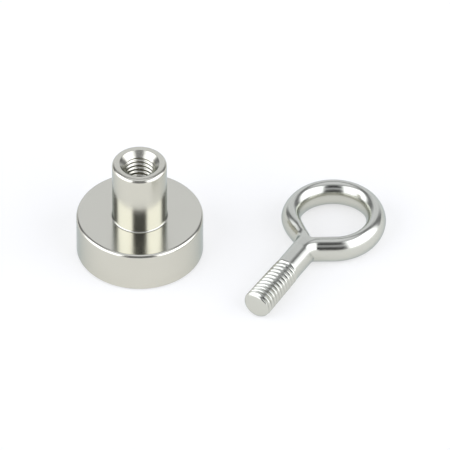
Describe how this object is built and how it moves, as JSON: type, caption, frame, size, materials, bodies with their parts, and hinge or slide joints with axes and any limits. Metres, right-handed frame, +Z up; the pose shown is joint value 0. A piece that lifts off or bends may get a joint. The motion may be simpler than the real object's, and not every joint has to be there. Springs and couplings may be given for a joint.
{
  "type": "magnet fishing magnet",
  "caption": "Round steel pot magnet with a tall threaded bush, and the forged eye bolt that screws into it, lying unscrewed beside it.",
  "frame": {"origin": "centre of the pot's magnet face, on the surface the pot stands on", "axes": "+Z up along the pot's axis, out of the bush's mouth; +X towards the eye bolt lying beside the pot"},
  "size_m": [0.0977, 0.0585, 0.0356],
  "materials": {
    "nickel_plate": "satin nickel plate",
    "magnet_nickel": "satin nickel plate",
    "epoxy": "gloss cast resin",
    "glue": "cured adhesive",
    "bolt_nickel": "satin nickel plate"
  },
  "bodies": {
    "pot_magnet": {"pot_shell": "nickel_plate", "threaded_bush": "nickel_plate", "magnet_disc": "magnet_nickel", "epoxy_ring": "epoxy", "adhesive_layer": "glue"},
    "eye_bolt": {"eye_bolt": "bolt_nickel"}
  },
  "joints": [
    {"name": "bolt_lift", "type": "slide", "parent": "pot_magnet", "child": "eye_bolt", "axis": [0, 0, 1], "range_m": [0, 0.06]}
  ]
}
